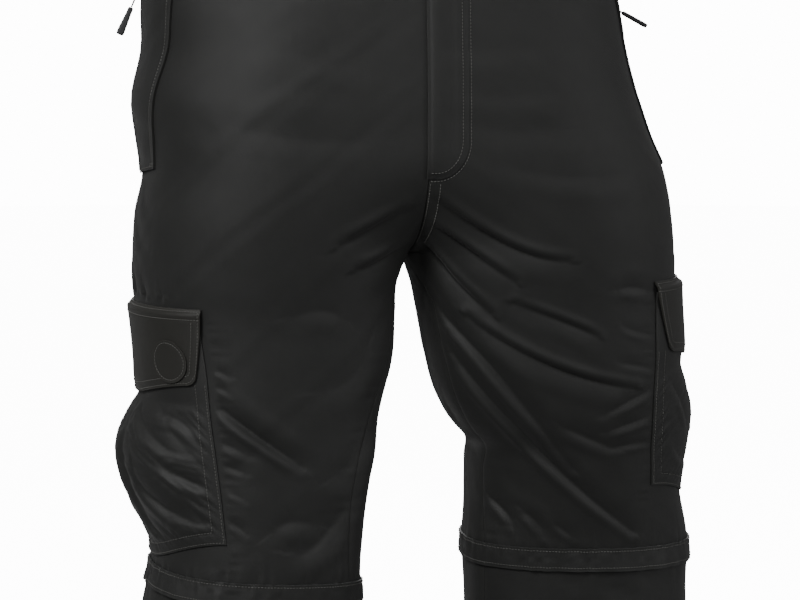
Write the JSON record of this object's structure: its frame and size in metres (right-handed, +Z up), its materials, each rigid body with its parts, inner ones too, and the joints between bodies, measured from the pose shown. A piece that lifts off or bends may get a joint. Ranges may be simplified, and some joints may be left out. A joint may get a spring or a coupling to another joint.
{
  "type": "convertible zip-off trousers",
  "caption": "Worn zip-off trousers of thin cloth, with slanted zipped hip pockets, standing cargo pockets under flaps, and covered zips round both knees",
  "frame": {"origin": "centre of the waistband, at half its height, on the plane of the middle seams", "axes": "+Z up, -Y out of the front, +X the wearer's left"},
  "size_m": [0.5072, 0.2516, 1.0652],
  "materials": {
    "leg_cloth": "matt plain weave, near black",
    "flap_cloth": "matt plain weave, slightly browner",
    "zip_tape": "woven tape with plastic coil",
    "pull_rubber": "matt moulded",
    "pull_cord": "braided cord",
    "dark_metal": "dark, slightly worn",
    "button_plastic": "smooth"
  },
  "bodies": {
    "trousers": {"waistband": "leg_cloth", "waist_button": "button_plastic", "fly_placket": "leg_cloth", "fly_zip": "zip_tape", "front_right": "leg_cloth", "front_left": "leg_cloth", "back_right": "leg_cloth", "back_left": "leg_cloth", "lower_front_right": "leg_cloth", "lower_front_left": "leg_cloth", "lower_back_right": "leg_cloth", "lower_back_left": "leg_cloth", "hip_welt_right": "leg_cloth", "hip_welt_left": "leg_cloth", "hip_zip_right": "zip_tape", "hip_zip_left": "zip_tape", "hip_slider_right": "dark_metal", "hip_slider_left": "dark_metal", "cargo_pocket_right": "leg_cloth", "cargo_pocket_left": "leg_cloth", "cargo_flap_right": "flap_cloth", "cargo_flap_left": "flap_cloth", "flap_patch": "flap_cloth", "knee_zip_right": "zip_tape", "knee_zip_left": "zip_tape", "knee_slider_right": "dark_metal", "knee_slider_left": "dark_metal", "knee_band_right": "leg_cloth", "knee_band_left": "leg_cloth"},
    "pull_right": {"hip_cord_right": "pull_cord", "hip_pull_right": "pull_rubber"},
    "pull_left": {"hip_cord_left": "pull_cord", "hip_pull_left": "pull_rubber"}
  },
  "joints": [
    {"name": "pull_right_swing", "type": "hinge", "parent": "trousers", "child": "pull_right", "pos_m": [-0.2112, 0.0206, -0.0459], "axis": [0, 1, 0], "range_deg": [-10, 120]},
    {"name": "pull_left_swing", "type": "hinge", "parent": "trousers", "child": "pull_left", "pos_m": [0.1835, 0.0211, -0.0552], "axis": [0, -1, 0], "range_deg": [-45, 85]}
  ]
}
